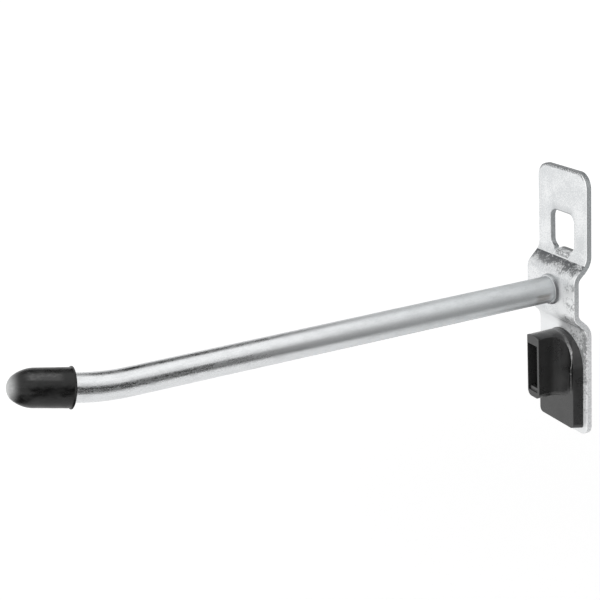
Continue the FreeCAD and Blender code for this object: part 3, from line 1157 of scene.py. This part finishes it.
@dataclass
class Studio:
    """Pale floor, soft lamps, grey cards and the photograph's camera."""

    floor_z: float = -0.17
    floor_half: float = 9.0
    floor_grey: float = 0.80
    floor_roughness: float = 0.9
    near: float = 0.2
    far: float = 0.8
    near_lift: float = 0.31
    far_lift: float = 0.54
    ambient: float = 0.65
    focal_mm: float = 80.855
    sensor_mm: float = 36.0
    azimuth: float = radians(67.0777)
    elevation: float = radians(18.2407)
    roll: float = radians(-4.1829)
    camera_place: Colour = (0.32324, -0.22419, 0.11409)
    clip_range: Step = (0.01, 50.0)

    def build(self) -> None:
        """Make the whole studio."""
        self.floor()
        self.world()
        self.lamps()
        self.cards()
        self.camera()

    def floor(self) -> bpy.types.Object:
        """Large pale plane that keeps the hook's shadow.

        Returns:
            The floor's object.
        """
        h, z = self.floor_half, self.floor_z
        mesh = bpy.data.meshes.new("studio_floor")
        mesh.from_pydata([(-h, -h, z), (h, -h, z), (h, h, z), (-h, h, z)], [], [(0, 1, 2, 3)])
        floor = placed("studio_floor", mesh)
        set_material(floor, self.floor_material())
        return floor

    @staticmethod
    def seen(wires: Wiring) -> Value:
        """Mask of the rays that show the surroundings.

        Args:
            wires: Wiring of the tree.

        Returns:
            1 for camera, glossy and transmission rays.
        """
        path = wires.add("ShaderNodeLightPath").outputs
        kinds = ("Is Camera Ray", "Is Glossy Ray", "Is Transmission Ray")
        return reduce(or_, [Value(wires, path[kind]) for kind in kinds])

    def floor_material(self) -> bpy.types.Material:
        """White for the eye and in reflections, an ordinary pale surface for light.

        Returns:
            The floor's material.
        """
        material = bpy.data.materials.new("studio_floor")
        material.use_nodes = True
        wires = Wiring(material.node_tree)
        base = material.node_tree.nodes["Principled BSDF"]
        base.inputs["Base Color"].default_value = rgba((self.floor_grey,) * 3)
        base.inputs["Roughness"].default_value = self.floor_roughness
        base.inputs["Specular IOR Level"].default_value = 0.0
        place = wires.value("ShaderNodeTexCoord", None, "Object")
        away = wires.value("ShaderNodeVectorMath", {0: place}, "Value", operation="LENGTH")
        white = away.ramp(self.near, self.far, self.near_lift, self.far_lift)
        lift = wires.value("ShaderNodeEmission", {"Color": rgba(WHITE), "Strength": self.seen(wires) * white})
        both = wires.value("ShaderNodeAddShader", {0: base.outputs[0], 1: lift})
        wires.feed(material.node_tree.nodes["Material Output"].inputs["Surface"], both)
        return material

    def world(self) -> None:
        """Even surroundings, white where they are seen."""
        world = bpy.data.worlds.new("studio")
        world.use_nodes = True
        wires = Wiring(world.node_tree)
        background = world.node_tree.nodes["Background"]
        background.inputs["Color"].default_value = rgba(WHITE)
        wires.feed(background.inputs["Strength"], self.seen(wires).ramp(0.0, 1.0, self.ambient, 1.0))
        bpy.context.scene.world = world

    def lamps(self) -> None:
        """Soft lamp above, a box in front of the rod's end, and two fills that gloss doesn't show."""
        self.lamp(Card("overhead", (0.25, 0.35, 0.95), (-0.22, -0.30, -1.0), 1.1, 0.8), 0.8)
        self.lamp(Card("front_box", (-0.05, -1.30, 0.24), (0.05, 1.0, -0.18), 0.5, 0.3), 1.8)
        for card, watts in (
            (Card("fill", (0.40, -0.30, 0.95), (-0.35, 0.25, -1.0), 1.3, 1.1), 2.4),
            (Card("front_fill", (0.45, -1.0, 0.20), (-0.45, 1.0, -0.22), 0.9, 0.7), 3.0),
        ):
            self.lamp(card, watts).visible_glossy = False

    @staticmethod
    def lamp(card: Card, watts: float) -> bpy.types.Object:
        """One rectangular lamp.

        Args:
            card: Its place and size.
            watts: Its power.

        Returns:
            The lamp's object.
        """
        light = bpy.data.lights.new(card.name, "AREA")
        light.shape = "RECTANGLE"
        light.size, light.size_y = card.width, card.height
        light.energy = watts
        return placed(card.name, light, card.turned())

    def cards(self) -> None:
        """Cards that metal and gloss show as their dark bands and grey sides."""
        for card, greys in (
            (Card("dark_left", (-0.89, 0.10, 1.03), (0.89, -0.05, -1.03), 0.8, 1.04), (0.03, 0.03)),
            (Card("dark_right", (1.20, 0.05, 0.16), (-1.0, 0.0, -0.1), 0.95, 0.63), (0.02, 0.02)),
            (Card("dark_front", (0.12, -0.37, -0.165), UP, 0.54, 0.30), (0.06, 0.06)),
            (Card("dark_floor", (0.40, -0.17, -0.165), UP, 0.40, 0.18), (0.05, 0.05)),
            (Card("dark_far", (0.725, 0.185, -0.165), UP, 0.85, 0.55), (0.05, 0.05)),
            (Card("grey_side", (0.16, 0.085, -0.06), (-0.88, -0.47, 0.0), 0.25, 0.22), (0.19, 0.50)),
        ):
            self.card(card, greys)

    @staticmethod
    def card(card: Card, greys: Step) -> None:
        """One card that only reflections show.

        Args:
            card: Its place and size.
            greys: How bright its lower and upper thirds show, from 0 to 1.
        """
        w, h = card.width / 2.0, card.height / 2.0
        mesh = bpy.data.meshes.new(card.name)
        mesh.from_pydata([(-w, -h, 0), (w, -h, 0), (w, h, 0), (-w, h, 0)], [], [(3, 2, 1, 0)])
        panel = placed(card.name, mesh, card.turned())
        material = bpy.data.materials.new(card.name)
        material.use_nodes = True
        wires = Wiring(material.node_tree)
        height = wires.parts(wires.value("ShaderNodeTexCoord", None, "Object"))[1]
        strength = height.ramp(-h / 3.0, h / 3.0, *greys)
        glow = wires.value("ShaderNodeEmission", {"Color": rgba(WHITE), "Strength": strength})
        wires.feed(material.node_tree.nodes["Material Output"].inputs["Surface"], glow)
        set_material(panel, material)
        panel.visible_camera = False
        panel.visible_diffuse = False
        panel.visible_shadow = False

    def camera(self) -> bpy.types.Object:
        """Camera at the photograph's angle.

        Returns:
            The camera's object.
        """
        back = Vector((
            sin(self.azimuth) * cos(self.elevation),
            -cos(self.azimuth) * cos(self.elevation),
            sin(self.elevation),
        ))
        right = (-back).cross(Vector(UP)).normalized()
        up = right.cross(-back)
        turned_right = cos(self.roll) * right + sin(self.roll) * up
        turned_up = -sin(self.roll) * right + cos(self.roll) * up
        turn = Matrix((turned_right, turned_up, back)).transposed()
        data = bpy.data.cameras.new("photo_camera")
        data.lens = self.focal_mm
        data.sensor_width = self.sensor_mm
        data.clip_start, data.clip_end = self.clip_range
        camera = placed("photo_camera", data, Matrix.Translation(self.camera_place) @ turn.to_4x4())
        bpy.context.scene.camera = camera
        return camera


def main() -> None:
    """Build the hook's pieces and the studio in order."""
    logging.basicConfig(level=logging.INFO, format="%(name)s: %(message)s")
    bpy.context.scene.view_settings.view_transform = "Standard"
    effects = SharedEffects()
    turner = TurnedOnPath()
    path = RodPath()
    for piece in (
        BackPlate().dress(effects),
        HookRod(path).build(turner, effects),
        EndCap(path).build(turner, effects),
        LockingClip().dress(effects),
    ):
        log.info("%s: %d faces", piece.name, len(piece.data.polygons))
    Studio().build()


if __name__ == "__main__":
    main()
